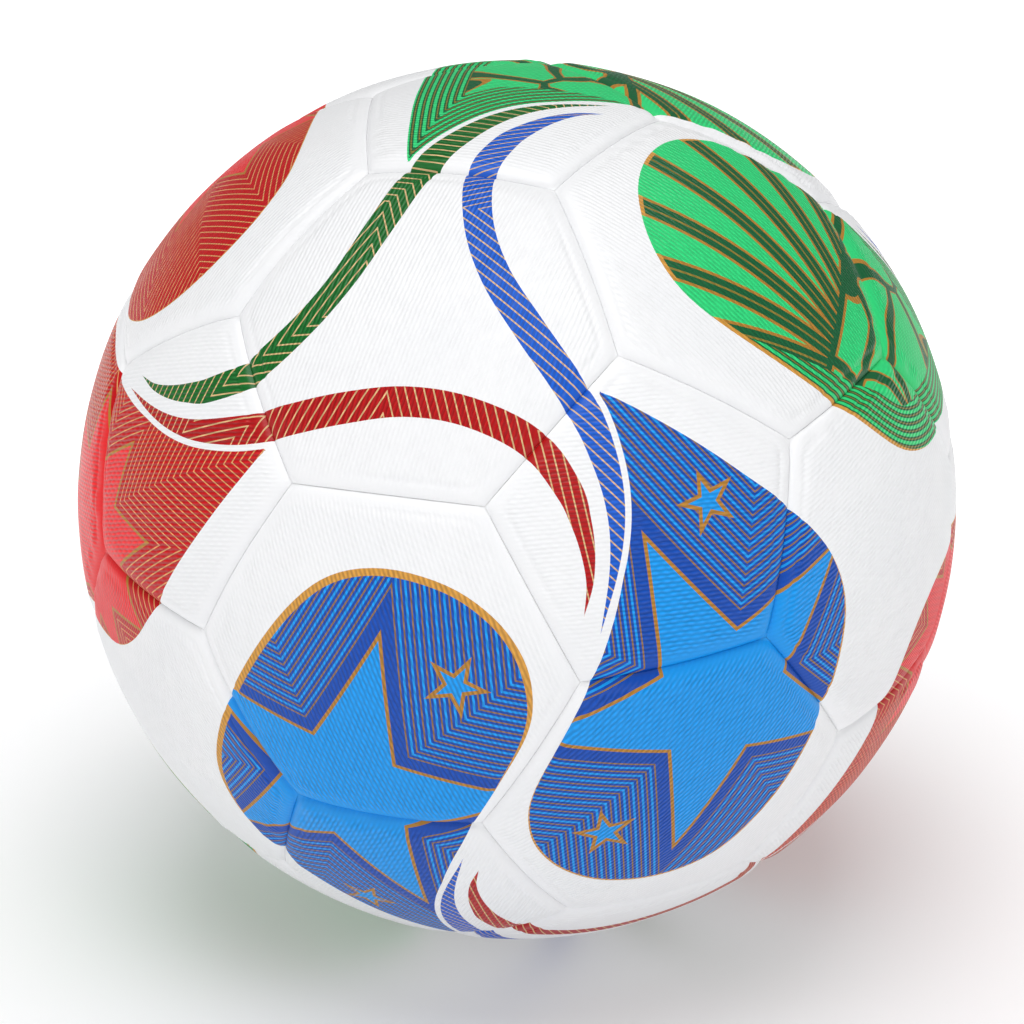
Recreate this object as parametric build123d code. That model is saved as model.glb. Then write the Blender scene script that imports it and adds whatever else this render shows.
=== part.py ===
from build123d import *
import itertools
import math
import os

# A size 5 football of 32 bonded panels. Millimetres. The origin is the ball's centre, +Z is up,
# and +Y runs out through the inflation valve, which sits in the middle of a hexagonal panel.

# ---------------------------------------------------------------- driving dimensions
ball_radius = 110.0          # size 5: 68 to 70 cm round
skin_thickness = 1.2         # foam-backed synthetic leather, folded down the panel's sides
foam_thickness = 2.8
carcass_thickness = 1.6      # wound thread set in rubber
bladder_thickness = 1.8
seam_gap = 0.5               # adhesive between two panels' side walls
panel_edge_round = 2.0       # rolled outer edge of the skin
bond_below_surface = 2.1     # how far under the cover the adhesive stops

neck_radius = 3.5            # valve neck, flush fit in the cover's hole
neck_below_surface = 0.7
housing_radius = 5.5
housing_depth = 11.0         # how far the valve housing reaches into the air space
housing_floor = 1.0          # rubber under the core
housing_foot_round = 1.5
neck_rim_round = 0.6
flange_radius = 13.0
flange_thickness = 1.6
core_radius = 2.2
core_head_radius = 2.7
core_head_height = 1.4
core_bulb_radius = 3.3
core_bulb_height = 3.0
core_below_neck = 0.4
needle_radius = 1.0
needle_bore_length = 10.0
needle_lead_in = 0.4

patch_radius = 20.0
valve_patch_thickness = 0.6
balance_patch_thickness = 1.8

# ---------------------------------------------------------------- worked out from those
foam_radius = ball_radius - skin_thickness
carcass_radius = foam_radius - foam_thickness
bladder_radius = carcass_radius - carcass_thickness
air_radius = bladder_radius - bladder_thickness
bond_radius = ball_radius - bond_below_surface
golden = (1 + math.sqrt(5)) / 2
# edge of the regular truncated icosahedron whose corners lie on a sphere of radius 1
unit_edge = 4 / math.sqrt(58 + 18 * math.sqrt(5))


# ---------------------------------------------------------------- panel directions
def cyclic_points(*coordinates):
    """All sign changes and cyclic shifts of three coordinates, as unit vectors."""
    found = []
    for signs in itertools.product((1, -1), repeat=3):
        signed = [value * sign for value, sign in zip(coordinates, signs)]
        for shift in range(3):
            point = Vector(*(signed[shift:] + signed[:shift])).normalized()
            if all((point - other).length > 1e-6 for other in found):
                found.append(point)
    return found


# The solid's usual coordinates have a hexagon on the diagonal (1, 1, 1) and a pentagon beside it
# towards (0, 1, golden). The ball's frame has that hexagon on +Y and that pentagon above it.
ball_y = Vector(1, 1, 1).normalized()
pentagon_above = Vector(0, 1, golden)
ball_z = (pentagon_above - ball_y * pentagon_above.dot(ball_y)).normalized()
ball_x = ball_y.cross(ball_z)


def to_ball(point):
    """A direction in the solid's own coordinates, as a direction in the ball's frame."""
    return Vector(point.dot(ball_x), point.dot(ball_y), point.dot(ball_z))


def by_height(direction):
    """Sort key: from the top of the ball down, and round each level."""
    return (-round(direction.Z, 4), round(math.atan2(direction.X, -direction.Y), 4))


pentagon_directions = sorted(map(to_ball, cyclic_points(0, 1, golden)), key=by_height)
hexagon_directions = sorted(
    map(to_ball, cyclic_points(1, 1, 1) + cyclic_points(0, golden, 1 / golden)),
    key=by_height,
)
valve_direction = Vector(0, 1, 0)


def panel_location(direction, corner_towards):
    """Frame with +Z out through a panel's middle and +X over one of its corners."""
    side = corner_towards - direction * corner_towards.dot(direction)
    return Location(Plane(origin=(0, 0, 0), x_dir=side, z_dir=direction))


def nearest(direction, others):
    return max(others, key=direction.dot)


# ---------------------------------------------------------------- panels
def wedge(sides, inset):
    """Solid cone through a flat regular polygon of the solid, its side planes moved in by inset."""
    corner_radius = unit_edge / (2 * math.sin(math.pi / sides))
    mid_edge_radius = corner_radius * math.cos(math.pi / sides)
    height = math.sqrt(1 - corner_radius**2)
    apex = inset * math.hypot(height, mid_edge_radius) / mid_edge_radius
    sections = []
    for level in (0.5 * ball_radius, 1.3 * ball_radius):
        size = (level - apex) * corner_radius / height
        corners = [Vector(size, 0, level).rotate(Axis.Z, 360 / sides * k) for k in range(sides)]
        sections.append(corners)
    low, high = sections
    loops = [low, high]
    for k in range(sides):
        after = (k + 1) % sides
        loops.append([low[k], low[after], high[after], high[k]])
    return Solid(Shell([Face(Wire.make_polygon(loop)) for loop in loops]))


def outward_sphere(radius):
    """A sphere whose poles and seam line stay away from its +Z side."""
    return Rot(90, 0, 0) * Sphere(radius)


def shell_piece(sides, outer, inner, inset, edge_round):
    """A polygonal piece of a spherical shell with its outer edges rounded."""
    blank = (outward_sphere(outer) - outward_sphere(inner)) & wedge(sides, inset)
    rim = [edge for edge in blank.edges() if math.isclose((edge @ 0.5).length, outer, abs_tol=0.01)]
    return fillet(rim, edge_round).solid()


def make_foam(sides):
    inset = seam_gap / 2 + skin_thickness
    return shell_piece(sides, foam_radius, carcass_radius, inset, panel_edge_round - skin_thickness)


def make_skin(sides):
    """The skin is a tray: its face covers the foam, and its walls go down to the carcass."""
    whole = shell_piece(sides, ball_radius, carcass_radius, seam_gap / 2, panel_edge_round)
    return (whole - make_foam(sides)).solid()


def place_panels(piece, directions, corner_side):
    """Copies of one panel piece. corner_side(direction) gives a direction that a corner faces."""
    return [panel_location(d, corner_side(d)) * piece for d in directions]


def pentagon_corner(direction):
    """A pentagon's corners point at its neighbour pentagons."""
    return nearest(direction, [p for p in pentagon_directions if (p - direction).length > 0.1])


def hexagon_corner(direction):
    """A hexagon's corners lie a twelfth of a turn either side of its neighbour pentagons."""
    return nearest(direction, pentagon_directions)


# ---------------------------------------------------------------- round inner pieces
def hollow_ball(outer, inner):
    return Sphere(outer) - Sphere(inner)


def rod(radius, low, high):
    """A cylinder on +Z between two heights."""
    return Pos(0, 0, low) * Cylinder(radius, high - low, align=(Align.CENTER, Align.CENTER, Align.MIN))


def shell_disc(radius, outer, inner):
    """A round patch of a spherical shell, centred on +Z."""
    return (outward_sphere(outer) - outward_sphere(inner)) & rod(radius, 0, ball_radius)


to_valve = Rot(-90, 0, 0)     # local +Z goes to the ball's +Y
to_opposite = Rot(90, 0, 0)   # local +Z goes to the ball's -Y

neck_top = ball_radius - neck_below_surface
core_top = neck_top - core_below_neck
core_bottom = air_radius - housing_depth + housing_floor


def make_valve_core():
    """The soft plug: a head, a stem and a bulb that keeps it in, with a blind bore for a needle."""
    plug = rod(core_radius, core_bottom, core_top)
    plug += rod(core_head_radius, core_top - core_head_height, core_top)
    plug += rod(core_bulb_radius, core_bottom, core_bottom + core_bulb_height)
    return plug


def make_needle_bore():
    bore = rod(needle_radius, core_top - needle_bore_length, core_top)
    mouth = Pos(0, 0, core_top - needle_lead_in) * Cone(
        needle_radius, needle_radius + needle_lead_in, needle_lead_in,
        align=(Align.CENTER, Align.CENTER, Align.MIN),
    )
    return bore + mouth


def make_valve_housing():
    neck = rod(neck_radius, air_radius - housing_depth, neck_top)
    neck = fillet(neck.edges().sort_by(Axis.Z)[-1], neck_rim_round)
    barrel = rod(housing_radius, air_radius - housing_depth, air_radius - flange_thickness / 2)
    barrel = fillet(barrel.edges().group_by(Axis.Z)[0], housing_foot_round)
    flange = shell_disc(flange_radius, air_radius, air_radius - flange_thickness)
    pocket = make_valve_core() + rod(core_head_radius, core_top - core_head_height, ball_radius)
    return ((flange + barrel + neck) - pocket).solid()


# ---------------------------------------------------------------- build and write
os.makedirs("parts", exist_ok=True)


def write(name, shape):
    export_step(shape, f"parts/{name}.step")


neck_hole = to_valve * rod(neck_radius, bladder_radius - 2 * bladder_thickness, ball_radius + 1)

hexagons = place_panels(Rot(0, 0, 30) * make_skin(6), hexagon_directions, hexagon_corner)
number = 0
for direction, skin in zip(hexagon_directions, hexagons):
    if direction.dot(valve_direction) > 0.999:
        write("valve_panel", (skin - neck_hole).solid())
    else:
        number += 1
        write(f"hexagon_panel_{number:02d}", skin)

pentagons = place_panels(make_skin(5), pentagon_directions, pentagon_corner)
for number, skin in enumerate(pentagons, start=1):
    write(f"pentagon_panel_{number:02d}", skin)

hexagon_foam = place_panels(Rot(0, 0, 30) * make_foam(6), hexagon_directions, hexagon_corner)
hexagon_foam = [
    (foam - neck_hole).solid() if direction.dot(valve_direction) > 0.999 else foam
    for direction, foam in zip(hexagon_directions, hexagon_foam)
]
pentagon_foam = place_panels(make_foam(5), pentagon_directions, pentagon_corner)
write("hexagon_foam_pads", Compound(children=hexagon_foam))
write("pentagon_foam_pads", Compound(children=pentagon_foam))

hexagon_wedges = place_panels(
    Rot(0, 0, 30) * wedge(6, seam_gap / 2), hexagon_directions, hexagon_corner
)
pentagon_wedges = place_panels(wedge(5, seam_gap / 2), pentagon_directions, pentagon_corner)
seam_bond = hollow_ball(bond_radius, carcass_radius) - (hexagon_wedges + pentagon_wedges)
write("seam_bond", seam_bond.solid())

valve_patch = to_valve * shell_disc(
    patch_radius, bladder_radius + valve_patch_thickness, bladder_radius
)
carcass = hollow_ball(carcass_radius, bladder_radius) - neck_hole - valve_patch
write("wound_carcass", carcass.solid())
write("valve_patch", (valve_patch - neck_hole).solid())
write("bladder", (hollow_ball(bladder_radius, air_radius) - neck_hole).solid())
write("valve_housing", to_valve * make_valve_housing())
write("valve_core", (to_valve * (make_valve_core() - make_needle_bore())).solid())
balance_patch = shell_disc(patch_radius, air_radius, air_radius - balance_patch_thickness)
write("balance_patch", (to_opposite * balance_patch).solid())
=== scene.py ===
import itertools
import math

import bmesh
import bpy
import numpy as np
from mathutils import Matrix, Vector


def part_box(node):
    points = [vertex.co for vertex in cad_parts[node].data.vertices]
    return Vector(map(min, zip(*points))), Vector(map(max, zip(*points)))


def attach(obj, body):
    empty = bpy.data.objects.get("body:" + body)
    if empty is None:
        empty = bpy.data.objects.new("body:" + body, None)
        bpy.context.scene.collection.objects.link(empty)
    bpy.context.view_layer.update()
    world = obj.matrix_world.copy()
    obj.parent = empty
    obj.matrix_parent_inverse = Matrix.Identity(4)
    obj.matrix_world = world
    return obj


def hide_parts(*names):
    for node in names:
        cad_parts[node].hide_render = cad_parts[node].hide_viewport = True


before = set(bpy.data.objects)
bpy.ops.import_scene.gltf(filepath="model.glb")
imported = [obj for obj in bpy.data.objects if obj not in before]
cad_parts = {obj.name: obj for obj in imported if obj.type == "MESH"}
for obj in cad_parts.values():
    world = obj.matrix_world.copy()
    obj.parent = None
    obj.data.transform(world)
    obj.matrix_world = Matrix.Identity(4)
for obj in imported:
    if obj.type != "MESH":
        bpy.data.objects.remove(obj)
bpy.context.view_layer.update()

# A size 5 football of 32 bonded panels, with its printed and embossed cover. Lengths are in metres
# in the mesh code. The print and the emboss are laid out in millimetres on the ball's surface.

MM = 0.001

# ---------------------------------------------------------------- driving dimensions
ball = 110 * MM               # size 5
cover_thickness = 1.2 * MM
carcass_top = 106 * MM        # the panels' walls stand on the wound carcass
seam_clearance = 0.04 * MM    # what shows between two panels pressed together
valve_hole = 3.5 * MM

rows = 54                     # rows of faces from a panel's middle to its edge
edge_row_share = 0.5          # a row at the edge is this much of an average one
ring_start, ring_blend = 0.12, 0.2   # shares of the way out where rings turn into hexagons

roll_width = 6.0              # mm: the padded edge starts to bend down this far from the seam
roll_depth = 1.2
lip_width = 1.3               # mm: and turns steeply into the seam from here
lip_depth = 0.40
corner_softness = 0.8         # mm: how far two bent edges run together at a corner
crease_from_seam = 3.4        # mm: where the heated border of a panel ends
crease_width = 0.6
crease_depth = 0.3
pucker_from_seam = 3.5        # mm: small puckers where the cover is pulled over its pad's edge
pucker_width = 2.6
pucker_depth = 0.20
face_unevenness = 0.07        # mm: the faces swell and sink a little
hole_roll_width = 1.6         # mm: the cover bends down this far round the valve
hole_roll_depth = 0.45
wall_turn = 1.0 * MM          # below the cover, where a side wall turns into the underside
underside_rings = (0.92, 0.7, 0.45, 0.22)
golden_angle = 137.5          # degrees that the grain turns from one panel to the next

golden = (1 + math.sqrt(5)) / 2
unit_edge = 4 / math.sqrt(58 + 18 * math.sqrt(5))   # of the solid whose corners lie on radius 1
mm_per_degree = math.radians(ball / MM)             # of arc on the cover


# ---------------------------------------------------------------- where the panels are
def cyclic_points(*coordinates):
    """All sign changes and cyclic shifts of three coordinates, as unit vectors."""
    found = []
    for signs in itertools.product((1, -1), repeat=3):
        signed = [value * sign for value, sign in zip(coordinates, signs)]
        for shift in range(3):
            point = Vector(signed[shift:] + signed[:shift]).normalized()
            if all((point - other).length > 1e-6 for other in found):
                found.append(point)
    return found


# The solid's usual coordinates have a hexagon on the diagonal (1, 1, 1) and a pentagon beside it
# towards (0, 1, golden). The ball has that hexagon on +Y, round the valve, and that pentagon above.
ball_y = Vector((1, 1, 1)).normalized()
pentagon_above = Vector((0, 1, golden))
ball_z = (pentagon_above - ball_y * pentagon_above.dot(ball_y)).normalized()
to_ball = Matrix((ball_y.cross(ball_z), ball_y, ball_z))

pentagon_directions = [to_ball @ p for p in cyclic_points(0, 1, golden)]
hexagon_directions = [
    to_ball @ p for p in cyclic_points(1, 1, 1) + cyclic_points(0, golden, 1 / golden)
]


def panel_turn(direction):
    """Rotation that takes +Z out through a panel's middle and +X towards the nearest pentagon."""
    others = [p for p in pentagon_directions if (p - direction).length > 0.1]
    towards = max(others, key=direction.dot)
    side = (towards - direction * towards.dot(direction)).normalized()
    return Matrix((side, direction.cross(side), direction)).transposed()


def node_middle(name):
    low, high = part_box(name)
    return ((low + high) / 2).normalized()


# ---------------------------------------------------------------- the layout of the print
# The same emblem is printed twelve times, four times in each of three inks. Each emblem is a
# rounded field with one pointed corner, and a long S-shaped band that ends inside that corner.
# Its outlines are in degrees of arc round the emblem's own axis.

field_outline = [
    (42.3, 14.8), (42.5, 8), (42.1, 0), (41, -8), (39.4, -16), (36, -24.3), (30, -30),
    (20, -33), (10, -34), (0, -33.4), (-7.2, -31), (-12, -26), (-14.4, -19), (-14, -12.6),
    (-11.5, -7.4), (-7.6, -4), (-3, -2.3), (5, -1.6), (12, -1), (20, 0.3), (27, 2.4),
    (33, 5.2), (38, 9.2), (42.3, 14.8),
]
# Along the band's middle, round the point where three bands pass each other: x, y and full width.
band_line = [
    (-29, 27.2, 0), (-28.6, 23.5, 0.8), (-27.3, 20, 1.7), (-25.4, 16.8, 2.5), (-23, 13.9, 3.2),
    (-17.8, 10.4, 3.5), (-10, 9.2, 3.4), (-2.6, 10, 3.5), (4.7, 12.5, 3.7), (10.8, 15, 3.7),
    (15.6, 16.8, 3.6), (20.2, 17.7, 3.2), (25, 18, 2.5), (29.7, 17.4, 1.7), (34.6, 15.8, 0.9),
    (40.5, 13, 0),
]
white_line = 0.75              # degrees of bare cover between a band and its own field
band_reach = 48                # degrees from a crossing that its bands stay inside
field_reach = 56               # degrees from a field's axis that the field stays inside
far = 20.0                     # degrees: stands for a place with no print near it
steps_per_point = 5            # of a curve, for each point given

# The three inks' axes are at right angles. They are set so that the middles of the seams between
# two hexagons lie on them.
tilt = math.cos(math.radians(72))
blue_axis = np.array((tilt, -math.sqrt(1 - tilt**2 * 4 / 3), -tilt / math.sqrt(3)))
green_axis = np.array((0.5, 0, math.sqrt(0.75)))
ink_axes = np.array((blue_axis, green_axis, np.cross(blue_axis, green_axis)))
even_signs = [(1, 1, 1), (1, -1, -1), (-1, 1, -1), (-1, -1, 1)]
# What is printed inside the front left field sits this many degrees off its nominal place.
print_drift = {(0, (1, -1, -1)): (1.3, 1.2)}
rim_widths = (0.5, 1.0, 0.3)   # mm of gold round the fields of each ink
drifted_rim = 1.7              # mm of gold where the drift leaves the gold under-print bare


def smooth_line(points):
    """Points on a Catmull-Rom curve through all the points given."""
    given = np.array(points, float)
    padded = np.vstack((2 * given[0] - given[1], given, 2 * given[-1] - given[-2]))
    t = np.linspace(0, 1, steps_per_point, endpoint=False)[:, None]
    pieces = []
    for a, b, c, d in zip(padded, padded[1:], padded[2:], padded[3:]):
        curve = 2 * b + (c - a) * t + (2 * a - 5 * b + 4 * c - d) * t**2
        pieces.append((curve + (3 * b - a - 3 * c + d) * t**3) / 2)
    return np.vstack(pieces + [given[-1:]])


def local_degrees(directions, out, u, v):
    """Degrees of arc from an axis, split into parts towards u and towards v."""
    along = directions @ out
    sideways = np.stack((directions @ u, directions @ v), axis=1)
    size = np.linalg.norm(sideways, axis=1)
    angle = np.degrees(np.arctan2(size, along))
    return sideways * (angle / np.maximum(size, 1e-9))[:, None]


def nearest_on_line(places, line):
    """For each place: its distance to a run of points, its side, and the nearest step and share."""
    start = line[:-1, :2]
    step = line[1:, :2] - start
    length = np.linalg.norm(step, axis=1)
    offset = places[:, None, :] - start
    share = np.clip((offset * step).sum(2) / length**2, 0, 1)
    away = offset - share[:, :, None] * step
    distance = np.linalg.norm(away, axis=2)
    best = distance.argmin(axis=1)
    pick = np.arange(len(places))
    side = step[best, 0] * away[pick, best, 1] - step[best, 1] * away[pick, best, 0]
    return distance[pick, best], np.sign(side), best, share[pick, best]


def inside(places, outline):
    """Whether each place is inside a closed run of points, by counting crossings."""
    x, y = places[:, :1], places[:, 1:]
    x0, y0 = outline[:-1].T
    x1, y1 = outline[1:].T
    crosses = (y0 > y) != (y1 > y)
    slope = (x1 - x0) / np.where(y1 == y0, 1e-9, y1 - y0)
    return (crosses & (x < x0 + slope * (y - y0))).sum(axis=1) % 2 == 1


field_curve = smooth_line(field_outline)
band_curve = smooth_line(band_line)


def print_attributes(directions):
    """Where each point of the cover is in the print, in millimetres.

    field: across and up in the nearest field's own layout, and the distance outside its edge.
    band: across and up in the nearest band's own layout, and the distance outside its edge.
    stroke: the distance to that band's middle line, below 0 to its right, and half its width.
    inks: the number of the field's ink and of the band's ink, and the width of the field's rim.
    """
    count = len(directions)
    field = np.tile((0.0, 0.0, far), (count, 1))
    band = np.tile((0.0, 0.0, far), (count, 1))
    stroke = np.tile((far, 0.0, 0.0), (count, 1))
    inks = np.zeros((count, 3))
    for ink, signs in itertools.product(range(3), even_signs):
        out, u, v = [ink_axes[(ink + k) % 3] * signs[(ink + k) % 3] for k in range(3)]
        crossing = (out + u + v) / math.sqrt(3)
        towards = (out - crossing / math.sqrt(3)) * math.sqrt(1.5)

        near = np.flatnonzero(directions @ crossing > math.cos(math.radians(band_reach)))
        band_edge = np.full(count, far)
        if len(near):
            places = local_degrees(
                directions[near], crossing, towards, np.cross(crossing, towards)
            )
            distance, side, best, share = nearest_on_line(places, band_curve)
            widths = band_curve[:, 2]
            width = widths[best] * (1 - share) + widths[best + 1] * share
            edge = distance - width / 2
            band_edge[near] = edge
            better = edge < band[near, 2]
            chosen = near[better]
            band[chosen] = np.column_stack((places, edge))[better]
            stroke[chosen, :2] = np.stack((distance * side, width / 2), axis=1)[better]
            inks[chosen, 1] = ink

        near = np.flatnonzero(directions @ out > math.cos(math.radians(field_reach)))
        if len(near):
            places = local_degrees(directions[near], out, u, v)
            distance = nearest_on_line(places, field_curve)[0]
            edge = np.where(inside(places, field_curve), -distance, distance)
            edge = np.maximum(edge, white_line - band_edge[near])
            better = edge < field[near, 2]
            chosen = near[better]
            drift = print_drift.get((ink, signs), (0, 0))
            field[chosen] = np.column_stack((places - np.array(drift), edge))[better]
            inks[chosen, 0] = ink
            inks[chosen, 2] = drifted_rim if any(drift) else rim_widths[ink]
    return field * mm_per_degree, band * mm_per_degree, stroke * mm_per_degree, inks


# ---------------------------------------------------------------- panels
def waviness(points, wavelength, seed):
    """A smooth uneven field between about -1 and 1 over points in metres."""
    draw = np.random.default_rng(seed)
    total = np.zeros(len(points))
    for _ in range(7):
        wave = draw.normal(size=3)
        wave *= 2 * math.pi / (wavelength * draw.uniform(0.7, 1.4) * np.linalg.norm(wave))
        total += np.sin(points @ wave + draw.uniform(0, 2 * math.pi))
    return total / 3


def seam_distance(directions, sides, turn):
    """Millimetres of arc from the nearest seam, softened where two seams meet."""
    half = math.radians(180 / sides)
    mid_edge = unit_edge / 2 / math.tan(half)
    height = math.sqrt(1 - (unit_edge / 2 / math.sin(half)) ** 2)
    start = math.pi if sides == 5 else 0.0
    total = np.zeros(len(directions))
    for k in range(sides):
        angle = start + 2 * half * k
        lean = math.atan2(height, mid_edge)
        inward = Vector((-math.cos(angle), -math.sin(angle), 0)) * math.sin(lean)
        inward.z = math.cos(lean)
        gap = np.arcsin(np.clip(directions @ np.array(turn @ inward), -1, 1)) * ball / MM
        total += np.exp(-(gap - seam_clearance / MM) / corner_softness)
    return -corner_softness * np.log(total)


def edge_drop(distance, points):
    """Millimetres that the cover lies below the ball's sphere, from its distance to the seam."""
    roll = np.clip(1 - distance / roll_width, 0, 1)
    lip = np.clip(1 - distance / lip_width, 0, 1)
    crease = np.exp(-(((distance - crease_from_seam) / crease_width) ** 2))
    crease *= np.clip(0.5 + waviness(points, 40 * MM, 3), 0, 1)      # pressed deeper in places
    puckers = waviness(points, 5 * MM, 17)
    puckers *= np.exp(-(((distance - pucker_from_seam) / pucker_width) ** 2))
    puckers *= np.clip(0.2 + waviness(points, 50 * MM, 5), 0, 1)     # in patches along the seams
    folds = crease_depth * crease + pucker_depth * puckers
    return roll_depth * roll**2 + lip_depth * lip**2 + folds


def fold_rim(bm, rim, level, narrower=1.0):
    """Carries a rim on to another distance from the ball's centre, drawn in towards +Z."""
    made = bmesh.ops.extrude_edge_only(bm, edges=rim)["geom"]
    for part in made:
        if isinstance(part, bmesh.types.BMVert):
            part.co.x *= narrower
            part.co.y *= narrower
            part.co = part.co.normalized() * level
    return [e for e in made if isinstance(e, bmesh.types.BMEdge) and e.is_boundary]


def panel_sheet(bm, sides, middle_hole):
    """The panel's face as a flat net of triangles, in rows that are closer near its edge."""
    half = math.radians(180 / sides)
    corner = unit_edge * ball / 2 / math.sin(half)
    mid_edge = corner * math.cos(half)
    height = math.sqrt(ball**2 - corner**2)
    bmesh.ops.create_circle(bm, cap_ends=True, cap_tris=True, segments=sides, radius=corner)
    if sides == 5:
        bmesh.ops.rotate(bm, verts=bm.verts, matrix=Matrix.Rotation(-math.pi / 2, 3, "Z"))
    bmesh.ops.subdivide_edges(bm, edges=bm.edges[:], cuts=rows - 1, use_grid_fill=True)
    start = math.pi if sides == 5 else 0.0
    angles = [start + 2 * half * k for k in range(sides)]
    normals = [(math.cos(angle), math.sin(angle)) for angle in angles]
    flat = np.array([v.co[:2] for v in bm.verts])
    row = (flat @ np.array(normals).T).max(axis=1) / mid_edge
    bend = (1 - edge_row_share) / 2
    spread = (1 + bend * (1 - row**2)) * (1 - seam_clearance / mid_edge)
    flat *= spread[:, None]
    if middle_hole:
        # rows near the middle turn from hexagons into rings, and those in the hole are dropped
        size = np.linalg.norm(flat, axis=1)
        mean_radius = mid_edge * 1.05
        ring = row * (1 + bend * (1 - row**2)) * mean_radius
        blend = np.clip((row - ring_start) / ring_blend, 0, 1)
        flat *= ((blend * size + (1 - blend) * ring) / np.maximum(size, 1e-9))[:, None]
    for vert, (x, y) in zip(bm.verts, flat):
        vert.co = Vector((x, y, height)).normalized() * ball
    if middle_hole:
        just_inside = middle_hole * 0.98
        in_hole = [v for v in bm.verts if math.hypot(v.co.x, v.co.y) < just_inside]
        bmesh.ops.delete(bm, geom=in_hole, context="VERTS")
    return mid_edge


def panel_mesh(name, sides, turn, number, middle_hole=0.0):
    """A panel's cover: an embossed face, edges rolled into the seams, walls and an underside."""
    bm = bmesh.new()
    mid_edge = panel_sheet(bm, sides, middle_hole)
    rims = [e for e in bm.edges if e.is_boundary]
    hole_rim = [e for e in rims if math.hypot(*e.verts[0].co.xy) < 2 * middle_hole]
    outer_rim = [e for e in rims if e not in set(hole_rim)]
    for edge in rims:
        edge.smooth = False

    face_verts = bm.verts[:]
    points = np.array([turn @ v.co for v in face_verts])
    directions = points / np.linalg.norm(points, axis=1)[:, None]
    distance = seam_distance(directions, sides, turn)
    drop = edge_drop(distance, points) - face_unevenness * waviness(points, 24 * MM, 11)
    if middle_hole:
        from_hole = np.array([math.hypot(v.co.x, v.co.y) for v in face_verts]) - middle_hole
        roll = np.clip(1 - from_hole / (hole_roll_width * MM), 0, 1)
        drop += hole_roll_depth * roll**2
    for vert, depth in zip(face_verts, drop):
        vert.co = vert.co * (1 - depth * MM / ball)

    under_level = ball - cover_thickness
    wall_foot = fold_rim(bm, outer_rim, carcass_top)
    foot = fold_rim(bm, wall_foot, carcass_top, 1 - cover_thickness / mid_edge)
    under = fold_rim(bm, foot, under_level - wall_turn)
    for before, share in zip((1.0,) + underside_rings, underside_rings):
        under = fold_rim(bm, under, under_level, share / before)
    if middle_hole:
        hole_foot = fold_rim(bm, hole_rim, under_level)
        bmesh.ops.bridge_loops(bm, edges=under + hole_foot)
    else:
        last = fold_rim(bm, under, under_level, 0.0)
        tip = {v for e in last for v in e.verts}
        bmesh.ops.pointmerge(bm, verts=list(tip), merge_co=(0, 0, under_level))
    bmesh.ops.recalc_face_normals(bm, faces=bm.faces)
    for face in bm.faces:
        face.smooth = True

    grain_turn = Matrix.Rotation(number * math.radians(golden_angle), 3, "Z")
    local = np.array([grain_turn @ v.co for v in bm.verts])
    bm.transform(turn.to_4x4())
    mesh = bpy.data.meshes.new(name)
    bm.to_mesh(mesh)
    bm.free()

    points = np.array([v.co for v in mesh.vertices])
    directions = points / np.linalg.norm(points, axis=1)[:, None]
    field, band, stroke, inks = print_attributes(directions)
    seam = seam_distance(directions, sides, turn)
    grain = np.column_stack((local[:, :2] / MM, seam))
    layers = {"field": field, "band": band, "stroke": stroke, "inks": inks, "grain": grain}
    for label, values in layers.items():
        layer = mesh.attributes.new(label, "FLOAT_VECTOR", "POINT")
        layer.data.foreach_set("vector", values.astype(np.float32).ravel())
    return mesh


# ---------------------------------------------------------------- materials
def ink(code):
    """A colour from its sRGB hex code, as linear red, green, blue and alpha."""
    levels = [int(code[k:k + 2], 16) / 255 for k in (1, 3, 5)]
    linear = [c / 12.92 if c <= 0.04045 else ((c + 0.055) / 1.055) ** 2.4 for c in levels]
    return (*linear, 1.0)


def add(tree, kind, *inputs, **settings):
    """Adds a node, applies its settings, fills or links its inputs in order, gives its output."""
    node = tree.nodes.new("ShaderNode" + kind)
    for name, value in settings.items():
        setattr(node, name, value)
    for socket, value in zip(node.inputs, inputs):
        if isinstance(value, bpy.types.NodeSocket):
            tree.links.new(value, socket)
        elif value is not None:
            socket.default_value = value
    return node.outputs[0]


def new_material(name, **finish):
    """A material with one Principled shader. What is the same all over goes on its own sockets."""
    material = bpy.data.materials.new(name)
    material.use_nodes = True
    tree = material.node_tree
    shader = tree.nodes["Principled BSDF"]
    for socket, value in finish.items():
        shader.inputs[socket.replace("_", " ")].default_value = value
    return material, tree, shader


def around(tree, x, y, centre, turn):
    """How far a place is from a centre, and its angle round it, counted from turn in degrees."""
    x = add(tree, "Math", x, centre[0], operation="SUBTRACT")
    y = add(tree, "Math", y, centre[1], operation="SUBTRACT")
    x2 = add(tree, "Math", x, x, operation="MULTIPLY")
    size2 = add(tree, "Math", y, y, x2, operation="MULTIPLY_ADD")
    size = add(tree, "Math", size2, operation="SQRT")
    angle = add(tree, "Math", y, x, operation="ARCTAN2")
    return size, add(tree, "Math", angle, math.radians(turn), operation="SUBTRACT")


def star_field(tree, x, y, centre, outer, inner, points, tip):
    """Distance outside a star's edges in mm, below 0 inside it. The angle of one tip is tip."""
    half = math.pi / points
    across = outer - inner * math.cos(half)
    up = inner * math.sin(half)
    lean = math.atan2(across, up)
    reach = outer * math.cos(lean)
    size, angle = around(tree, x, y, centre, tip)
    folded = add(tree, "Math", angle, half, operation="PINGPONG")
    turned = add(tree, "Math", folded, lean, operation="SUBTRACT")
    cosine = add(tree, "Math", turned, operation="COSINE")
    return add(tree, "Math", size, cosine, -reach, operation="MULTIPLY_ADD")


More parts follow.
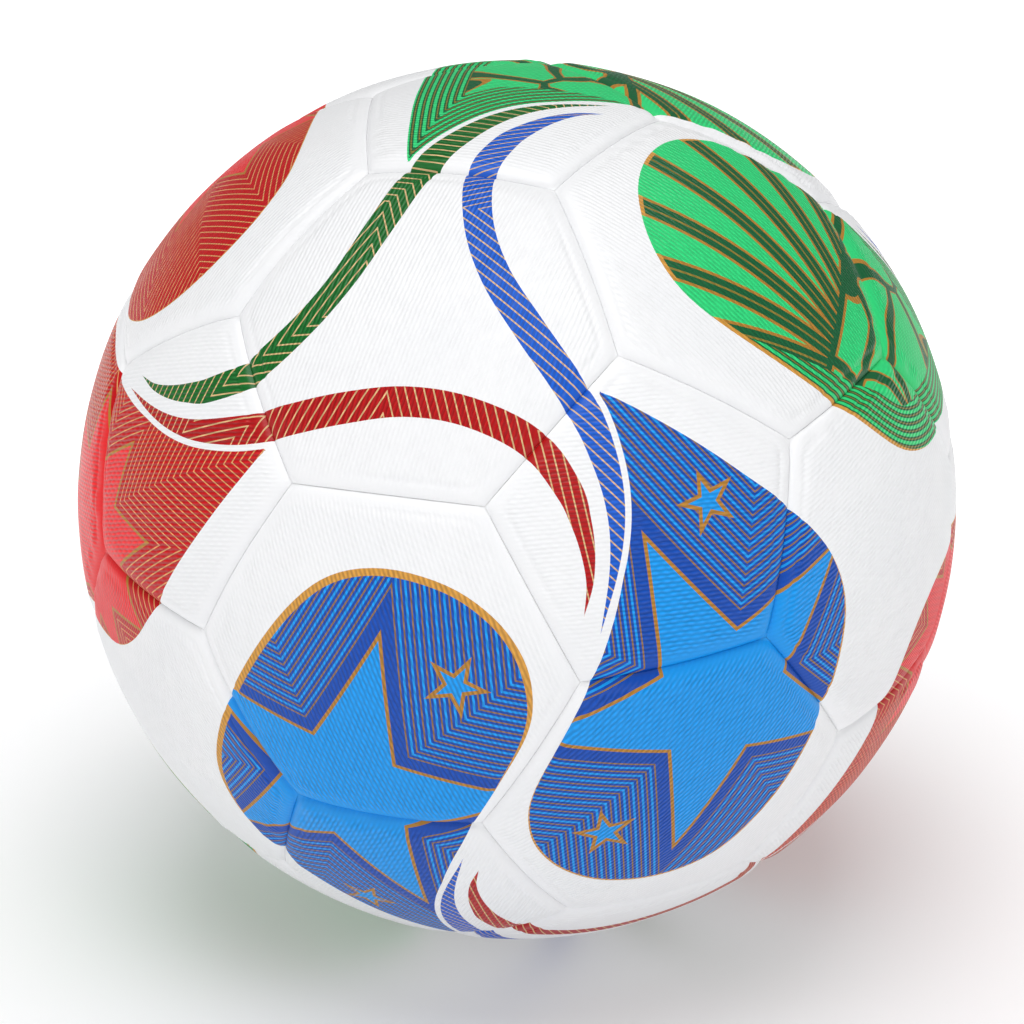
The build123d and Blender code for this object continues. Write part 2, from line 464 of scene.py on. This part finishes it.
def fan_field(tree, x, y, centre, blades, turn, half_gap):
    """Distance outside blades that fan out from a centre, with gaps of one width between them."""
    half = math.pi / blades
    size, angle = around(tree, x, y, centre, turn)
    folded = add(tree, "Math", angle, half, operation="PINGPONG")
    from_middle_of_gap = add(tree, "Math", folded, half, operation="SUBTRACT")
    return add(tree, "Math", from_middle_of_gap, size, half_gap, operation="MULTIPLY_ADD")


def paint_below(tree, under, field, limit, colour):
    """Lays a colour over what is under it wherever a field is below a limit."""
    mask = add(tree, "Math", field, limit, operation="LESS_THAN")
    return add(tree, "MixRGB", mask, under, colour)


def paint_shape(tree, under, field, outline, colour):
    """A filled shape with a gold line inside its edge, as wide as outline says."""
    under = paint_below(tree, under, field, 0.0, ink("#C48A34"))
    return paint_below(tree, under, field, -outline, colour)


def paint_stripes(tree, under, field, pitch, width, colour, start=0.0):
    """Lines along equal values of a field, so much wide and so far apart, in mm."""
    shifted = add(tree, "Math", field, start, operation="SUBTRACT")
    nearest = add(tree, "Math", shifted, pitch / 2, operation="PINGPONG")
    return paint_below(tree, under, nearest, width / 2, colour)


def degrees_of_arc(*values):
    return [value * mm_per_degree for value in values]


def blue_field(tree, x, y):
    """Royal blue with a big bright star, stripes that repeat its outline, and two small stars."""
    bright = ink("#08A4FF")
    royal = ink("#0050BE")
    brown = ink("#A07C48")
    pitch = 2.12
    plain_margin = 2.9         # mm of plain royal round the big star
    star = star_field(tree, x, y, degrees_of_arc(16, -17), 46.0, 17.2, 5, 53)
    colour = paint_stripes(tree, royal, star, pitch, 0.55, bright)
    colour = paint_stripes(tree, colour, star, pitch, 0.36, brown, pitch / 2)
    colour = paint_below(tree, colour, star, plain_margin, royal)
    colour = paint_shape(tree, colour, star, 0.85, bright)
    for middle, tip in (((36.5, -4.2), 46.5), ((-5.9, -13.5), 39)):
        small = star_field(tree, x, y, degrees_of_arc(*middle), 7.9, 3.0, 5, tip)
        colour = paint_shape(tree, colour, small, 0.9, bright)
    return colour, star


def green_field(tree, x, y, edge):
    """Dark green with bright blades that fan out to its round end, and bright pebbles beside them.

    Thin brass lines run round both. Bright stripes follow the field's edge on its low side and at
    its pointed end.
    """
    bright = ink("#34E888")
    dark = ink("#11683A")
    brass = ink("#9C8536")

    blade_roots = 27.0         # mm: the blades end at this x
    blades = fan_field(tree, x, y, degrees_of_arc(24, -27.5), 29, 1.9, 2.0)
    past_roots = add(tree, "Math", x, blade_roots, operation="SUBTRACT")
    blades = add(tree, "Math", blades, past_roots, operation="MAXIMUM")

    first_pebbles = 29.0       # mm: the pebbles start at this x
    pebble_size = 22.0
    half_gap = 1.7
    bend_scale = 0.05          # per mm: the noise that makes the pebbles' sides curve
    bend_size = 26.0
    place = add(tree, "CombineXYZ", x, y, 0.0)
    bends = add(tree, "TexNoise", place, None, bend_scale, 0.0).node.outputs["Color"]
    bend_sizes = (bend_size, bend_size, 0.0)
    place = add(tree, "VectorMath", bends, bend_sizes, place, operation="MULTIPLY_ADD")
    pebbles = add(
        tree, "TexVoronoi", place, feature="DISTANCE_TO_EDGE", voronoi_dimensions="2D"
    )
    pebbles.node.inputs["Scale"].default_value = 1 / pebble_size
    pebbles.node.inputs["Randomness"].default_value = 0.75
    pebbles = add(tree, "Math", pebbles, -pebble_size, half_gap, operation="MULTIPLY_ADD")
    before_pebbles = add(tree, "Math", first_pebbles, x, operation="SUBTRACT")
    pebbles = add(tree, "Math", pebbles, before_pebbles, operation="MAXIMUM")

    shape = add(tree, "Math", blades, pebbles, operation="MINIMUM")
    colour = paint_stripes(tree, dark, shape, 1.9, 0.34, brass)
    colour = paint_below(tree, colour, shape, 0.9, dark)
    colour = paint_shape(tree, colour, shape, 0.8, bright)

    # the striped border is this deep: from 0 to 10.5 mm along the low side, where y is below
    # -24 mm, and from 0 to 12 mm towards the pointed end
    low = add(tree, "Math", y, -24.0, operation="LESS_THAN")
    low_depth = add(tree, "MapRange", x, 0.0, 45.0, 0.0, 10.5)
    low_depth = add(tree, "Math", low_depth, low, operation="MULTIPLY")
    far_depth = add(tree, "MapRange", x, 30.0, 60.0, 0.0, 12.0)
    depth = add(tree, "Math", low_depth, far_depth, operation="MAXIMUM")
    in_depth = add(tree, "Math", edge, depth, operation="ADD")
    border = add(tree, "Math", in_depth, 0.0, operation="GREATER_THAN")
    pitch = 1.8
    stripes = paint_stripes(tree, dark, edge, pitch, 0.8, bright)
    stripes = paint_stripes(tree, stripes, edge, pitch, 0.25, brass, pitch / 2)
    outside_shapes = 9.0       # mm: the border counts as far from any bright shape
    shape = add(tree, "Math", border, outside_shapes, shape, operation="MULTIPLY_ADD")
    return add(tree, "MixRGB", border, colour, stripes), shape


def red_field(tree, x, y):
    """Dark red with a brighter burst of nine points, and thin gold zigzags that repeat it."""
    dark = ink("#D20612")
    burst = star_field(tree, x, y, degrees_of_arc(20, -20), 36.0, 21.0, 9, 75)
    colour = paint_stripes(tree, dark, burst, 1.7, 0.3, ink("#EDB070"))
    colour = paint_below(tree, colour, burst, 1.0, dark)
    return paint_shape(tree, colour, burst, 0.8, ink("#FF3236")), burst


def pick_ink(tree, number, choices):
    """One of three colours or values, by the number of the ink."""
    past_first = add(tree, "Math", number, 0.5, operation="GREATER_THAN")
    past_second = add(tree, "Math", number, 1.5, operation="GREATER_THAN")
    picked = add(tree, "MixRGB", past_first, choices[0], choices[1])
    return add(tree, "MixRGB", past_second, picked, choices[2])


# The hatching on the bands of each ink is a few runs of parallel lines that meet at sharp folds.
# Each run counts millimetres across its lines: how it joins the runs before it, its shares of x
# and y in the band's layout, and its start.
hatching_runs = (
    (("MINIMUM", 1.3, 0.1, 28.7), ("MINIMUM", -0.6, 0.8, -28.7)),
    (
        ("MINIMUM", 0.2, -0.98, 17.8), ("MINIMUM", 0.74, 0.67, 0.4),
        ("MINIMUM", -0.9, 0.44, -7.1), ("MINIMUM", -0.84, -0.54, 19.6),
    ),
    (
        ("MINIMUM", 0.86, 0.52, -9.2), ("MINIMUM", -0.95, 0.30, -5.7),
        ("MAXIMUM", 0.28, -0.96, -4.2), ("MINIMUM", -0.94, 0.33, 12.4),
    ),
)


def band_colour(tree, x, y, number):
    """Each band's ink, with thin gold hatching that turns at sharp folds."""
    colour = pick_ink(tree, number, [ink("#1264DC"), ink("#0C7026"), ink("#C0080F")])
    hatchings = []
    for runs in hatching_runs:
        hatching = 1000.0      # more than any run, so that the first one takes its place
        for join, x_share, y_share, start in runs:
            run = add(tree, "Math", y, y_share, start, operation="MULTIPLY_ADD")
            run = add(tree, "Math", x, x_share, run, operation="MULTIPLY_ADD")
            hatching = add(tree, "Math", hatching, run, operation=join)
        hatchings.append(hatching)
    hatching = pick_ink(tree, number, hatchings)
    return paint_stripes(tree, colour, hatching, 2.0, 0.34, ink("#EBC48C"))


def printed_leather():
    """Polyurethane synthetic leather, heat-pressed with a fine cord grain, then printed and glazed.

    It looks bright white with a soft shine, which staggered rows of small ridges break up. The
    valleys between the ridges have painted shade, a little darker, most of all in the ink. Noises
    are sized in cells a metre, and the grain's waves in millimetres.
    """
    material, tree, shader = new_material("pressed_polyurethane_leather", IOR=1.36)
    layers = {}
    for label in ("field", "band", "stroke", "inks", "grain"):
        vector = add(tree, "Attribute", attribute_name=label).node.outputs["Vector"]
        layers[label] = add(tree, "SeparateXYZ", vector).node.outputs
    x, y, edge = layers["field"]
    band_x, band_y, near_band = layers["band"]
    across, half_width = layers["stroke"][:2]
    field_ink, band_ink, rim_width = layers["inks"]
    u, v, seam = layers["grain"]

    # bare cover, with faint clouds
    place = add(tree, "TexCoord").node.outputs["Object"]
    cloud = add(tree, "TexNoise", place, None, 60.0, 3.0)
    white = add(tree, "MixRGB", cloud, ink("#F6F6F7"), ink("#EFF0F2"))
    # The bands are sharp to their tips. Between two bands the line's distance means nothing, so a
    # place must also be less than a mesh edge from a band.
    mesh_edge = 0.45
    across = add(tree, "Math", across, operation="ABSOLUTE")
    band_edge = add(tree, "Math", across, half_width, operation="SUBTRACT")
    near_band = add(tree, "Math", near_band, mesh_edge, operation="SUBTRACT")
    band_edge = add(tree, "Math", band_edge, near_band, operation="MAXIMUM")
    on_band = add(tree, "Math", band_edge, 0.0, operation="LESS_THAN")
    colour = add(tree, "MixRGB", on_band, white, band_colour(tree, band_x, band_y, band_ink))
    fields = [blue_field(tree, x, y), green_field(tree, x, y, edge), red_field(tree, x, y)]
    inner, shape = [pick_ink(tree, field_ink, choices) for choices in zip(*fields)]
    # a gold line along the field's rounded side, which reaches its full width 24 mm down a slope
    # away from the field's point, and is left out where a bright shape runs over the edge
    slope_x, slope_y, slope_length = -0.53, -0.85, 24
    fullness = add(tree, "Math", x, slope_x / slope_length, operation="MULTIPLY")
    fullness = add(tree, "Math", y, slope_y / slope_length, fullness, operation="MULTIPLY_ADD")
    fullness = add(tree, "Math", fullness, 0.02, operation="ADD", use_clamp=True)
    width = add(tree, "Math", fullness, rim_width, operation="MULTIPLY")
    rim = add(tree, "Math", edge, width, operation="ADD")
    on_rim = add(tree, "Math", rim, 0.0, operation="GREATER_THAN")
    off_bright = add(tree, "Math", shape, -0.9, operation="GREATER_THAN")
    on_rim = add(tree, "Math", on_rim, off_bright, operation="MULTIPLY")
    inner = add(tree, "MixRGB", on_rim, inner, ink("#E6A648"))
    in_field = add(tree, "Math", edge, 0.0, operation="LESS_THAN")
    colour = add(tree, "MixRGB", in_field, colour, inner)

    # staggered cord grain: rows 1.0 mm apart, with ridges that repeat every 2.6 mm and move on by
    # half of that from one row to the next
    row, ridge = 1.0, 2.6
    ridge_height = 0.10 * MM
    warp = add(tree, "TexNoise", place, None, 220.0, 2.0)
    u = add(tree, "Math", warp, 0.8, u, operation="MULTIPLY_ADD")
    v = add(tree, "Math", warp, 0.5, v, operation="MULTIPLY_ADD")
    waves = []
    for way, length in ((u, ridge), (v, 2 * row), (v, row)):
        phase = add(tree, "Math", way, 2 * math.pi / length, operation="MULTIPLY")
        waves.append(add(tree, "Math", phase, operation="COSINE"))
    ridges = add(tree, "Math", waves[0], waves[1], operation="MULTIPLY")
    weave = add(tree, "Math", ridges, 0.6, waves[2], operation="MULTIPLY_ADD")
    patchy = add(tree, "TexNoise", place, None, 350.0, 1.0)
    patchy = add(tree, "MapRange", patchy, 0.3, 0.7, 0.5, 1.0)
    weave = add(tree, "Math", weave, patchy, operation="MULTIPLY")
    # the heated border by the seams has hardly any grain
    fade = add(tree, "MapRange", seam, 1.5, 4.2, 0.12, 1.0)
    weave = add(tree, "Math", weave, fade, operation="MULTIPLY")
    printed = add(tree, "Math", in_field, on_band, operation="MAXIMUM")
    fine = add(tree, "TexNoise", place, None, 1600.0, 2.0)
    height = add(tree, "Math", fine, 0.35, weave, operation="MULTIPLY_ADD")
    relief = add(tree, "MapRange", printed, 0.0, 1.0, 0.7, 1.0)
    bump = add(tree, "Bump", relief, ridge_height, 1.0, height)
    # painted shade: the colour is darkened in the grain's valleys, down to 0.945 on bare cover and
    # 0.54 in the ink
    painted_valley_shade = add(tree, "MapRange", printed, 0.0, 1.0, 0.945, 0.54)
    shade = add(tree, "MapRange", weave, -1.2, 1.0, painted_valley_shade, 1.0)
    colour = add(tree, "MixRGB", 1.0, colour, shade, blend_type="MULTIPLY")
    rough = add(tree, "MapRange", cloud, 0.3, 0.7, 0.36, 0.46)

    tree.links.new(colour, shader.inputs["Base Color"])
    tree.links.new(rough, shader.inputs["Roughness"])
    tree.links.new(bump, shader.inputs["Normal"])
    return material


def hidden_material(name, light, dark, scale, rough, depth, texture="TexNoise", **finish):
    """A plain stuff inside the ball, mottled so many times a metre and so many metres deep."""
    material, tree, shader = new_material(name, **finish)
    place = add(tree, "TexCoord").node.outputs["Object"]
    pattern = add(tree, texture, place)
    pattern.node.inputs["Scale"].default_value = scale
    tree.links.new(add(tree, "MixRGB", pattern, ink(dark), ink(light)), shader.inputs["Base Color"])
    roughness = add(tree, "MapRange", pattern, 0.2, 0.8, rough - 0.06, rough + 0.06)
    tree.links.new(roughness, shader.inputs["Roughness"])
    bump = add(tree, "Bump", 0.6, depth, 1.0, pattern)
    tree.links.new(bump, shader.inputs["Normal"])
    return material


# ---------------------------------------------------------------- build the panels
cover = printed_leather()
panel_nodes = [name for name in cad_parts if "_panel" in name]
for number, name in enumerate(sorted(panel_nodes)):
    sides = 5 if name.startswith("pentagon") else 6
    choices = pentagon_directions if sides == 5 else hexagon_directions
    direction = max(choices, key=node_middle(name).dot)
    hole = valve_hole if name == "valve_panel" else 0.0
    mesh = panel_mesh("cover_" + name, sides, panel_turn(direction), number, hole)
    mesh.materials.append(cover)
    piece = bpy.data.objects.new("cover_" + name, mesh)
    bpy.context.scene.collection.objects.link(piece)
    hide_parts(name)
    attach(piece, "root")

# ---------------------------------------------------------------- finishes of the inner parts
finishes = {
    # EVA foam pads: chalky white, fine closed cells
    "foam": hidden_material(
        "closed_cell_eva_foam", "#F2F1EC", "#DEDCD4", 900.0, 0.85, 0.1 * MM, "TexVoronoi", IOR=1.45,
    ),
    # cured polyurethane adhesive: milky, with a slightly rubbery shine
    "bond": hidden_material(
        "cured_polyurethane_adhesive", "#E9E8E2", "#DAD8CF", 300.0, 0.5, 0.06 * MM, IOR=1.5,
    ),
    # polyester thread wound in rubber: cream, ropy
    "carcass": hidden_material(
        "wound_polyester_thread", "#E6DFC8", "#CDC3A4", 400.0, 0.7, 0.15 * MM, IOR=1.52,
    ),
    # butyl rubber bladder: black with a dusting of talc
    "bladder": hidden_material(
        "moulded_butyl_rubber", "#2A2A2B", "#1C1C1D", 120.0, 0.55, 0.05 * MM, IOR=1.52,
    ),
    # moulded rubber patches and valve body: matt black
    "patch": hidden_material(
        "moulded_rubber", "#232324", "#181819", 700.0, 0.6, 0.04 * MM, IOR=1.52,
    ),
    # soft silicone rubber plug: off-white, a little waxy
    "core": hidden_material(
        "moulded_silicone_rubber", "#E4E2DC", "#D5D3CC", 500.0, 0.45, 0.03 * MM, IOR=1.43,
    ),
}
node_finish = {
    "hexagon_foam_pads": "foam",
    "pentagon_foam_pads": "foam",
    "seam_bond": "bond",
    "wound_carcass": "carcass",
    "bladder": "bladder",
    "valve_housing": "patch",
    "valve_patch": "patch",
    "balance_patch": "patch",
    "valve_core": "core",
}
for name, finish in node_finish.items():
    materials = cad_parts[name].data.materials
    materials.clear()
    materials.append(finishes[finish])

# ---------------------------------------------------------------- floor, light and camera
floor_radius = 15.0            # metres
painted_glow_start, painted_glow_end = 0.08, 0.40   # metres from under the ball's centre
floor_bm = bmesh.new()
bmesh.ops.create_circle(
    floor_bm, cap_ends=True, segments=64, radius=floor_radius,
    matrix=Matrix.Translation((0, 0, -ball)),
)
floor_mesh = bpy.data.meshes.new("floor")
floor_bm.to_mesh(floor_mesh)
floor_bm.free()
# matt white paint with a painted glow, less of it near the ball, where its soft shadow shows; the
# glow also lights the ball from below
floor_material, floor_tree, floor_shader = new_material("matt_white_paint_with_painted_glow", Roughness=0.9)
floor_shader.inputs["Emission Color"].default_value = (1.0, 1.0, 1.0, 1.0)
floor_place = add(floor_tree, "TexCoord").node.outputs["Object"]
floor_cloud = add(floor_tree, "TexNoise", floor_place, None, 2.0, 3.0)
floor_colour = add(floor_tree, "MixRGB", floor_cloud, ink("#CDCDCE"), ink("#C9C9CA"))
floor_tree.links.new(floor_colour, floor_shader.inputs["Base Color"])
# painted light: the floor's glow rises from near the ball to away from it
from_ball = add(floor_tree, "VectorMath", floor_place, operation="LENGTH").node.outputs["Value"]
floor_painted_glow = add(floor_tree, "MapRange", from_ball, painted_glow_start, painted_glow_end, 0.17, 0.90)
floor_tree.links.new(floor_painted_glow, floor_shader.inputs["Emission Strength"])
floor_mesh.materials.append(floor_material)
floor = bpy.data.objects.new("floor", floor_mesh)
bpy.context.scene.collection.objects.link(floor)

# soft fill light, and a plain white backdrop beyond the floor
fill_light = 0.255
world = bpy.data.worlds.new("studio")
world.use_nodes = True
background = world.node_tree.nodes["Background"]
background.inputs["Color"].default_value = (1.0, 1.0, 1.0, 1.0)
seen = add(world.node_tree, "LightPath").node.outputs["Is Camera Ray"]
world_strength = add(world.node_tree, "MapRange", seen, 0.0, 1.0, fill_light, 1.0)
world.node_tree.links.new(world_strength, background.inputs["Strength"])
bpy.context.scene.world = world


def softbox(name, position, size, power):
    """A square soft light that faces the ball. Metres and watts."""
    light = bpy.data.lights.new(name, "AREA")
    light.shape = "SQUARE"
    light.size = size
    light.energy = power
    lamp = bpy.data.objects.new(name, light)
    lamp.location = position
    lamp.rotation_euler = Vector(position).to_track_quat("Z", "Y").to_euler()
    bpy.context.scene.collection.objects.link(lamp)


softbox("overhead_light", (0.1, -0.6, 2.8), 1.8, 58.0)
softbox("front_light", (-0.6, -2.3, 1.1), 1.2, 8.8)
softbox("side_light", (2.4, -0.7, 0.9), 1.2, 5.5)

azimuth, elevation, roll = [math.radians(a) for a in (16.32, 21.33, -0.80)]
camera_distance = 661.1 * MM
aim_right, aim_up = -1.31 * MM, -3.09 * MM     # what the camera aims at, from the ball's centre
towards_camera = Vector((
    math.sin(azimuth) * math.cos(elevation),
    -math.cos(azimuth) * math.cos(elevation),
    math.sin(elevation),
))
level_up = (Vector((0, 0, 1)) - towards_camera * towards_camera.z).normalized()
level_right = level_up.cross(towards_camera)
up = level_up * math.cos(roll) + level_right * math.sin(roll)
right = up.cross(towards_camera)
eye = towards_camera * camera_distance
aim = right * aim_right + up * aim_up
back = (eye - aim).normalized()
right = up.cross(back).normalized()
camera_data = bpy.data.cameras.new("camera")
camera_data.lens = 91.56
camera_data.sensor_width = 36.0
camera = bpy.data.objects.new("camera", camera_data)
camera_turn = Matrix((right, back.cross(right), back)).transposed()
camera.matrix_world = Matrix.Translation(eye) @ camera_turn.to_4x4()
bpy.context.scene.collection.objects.link(camera)
bpy.context.scene.camera = camera
bpy.context.scene.view_settings.view_transform = "Standard"
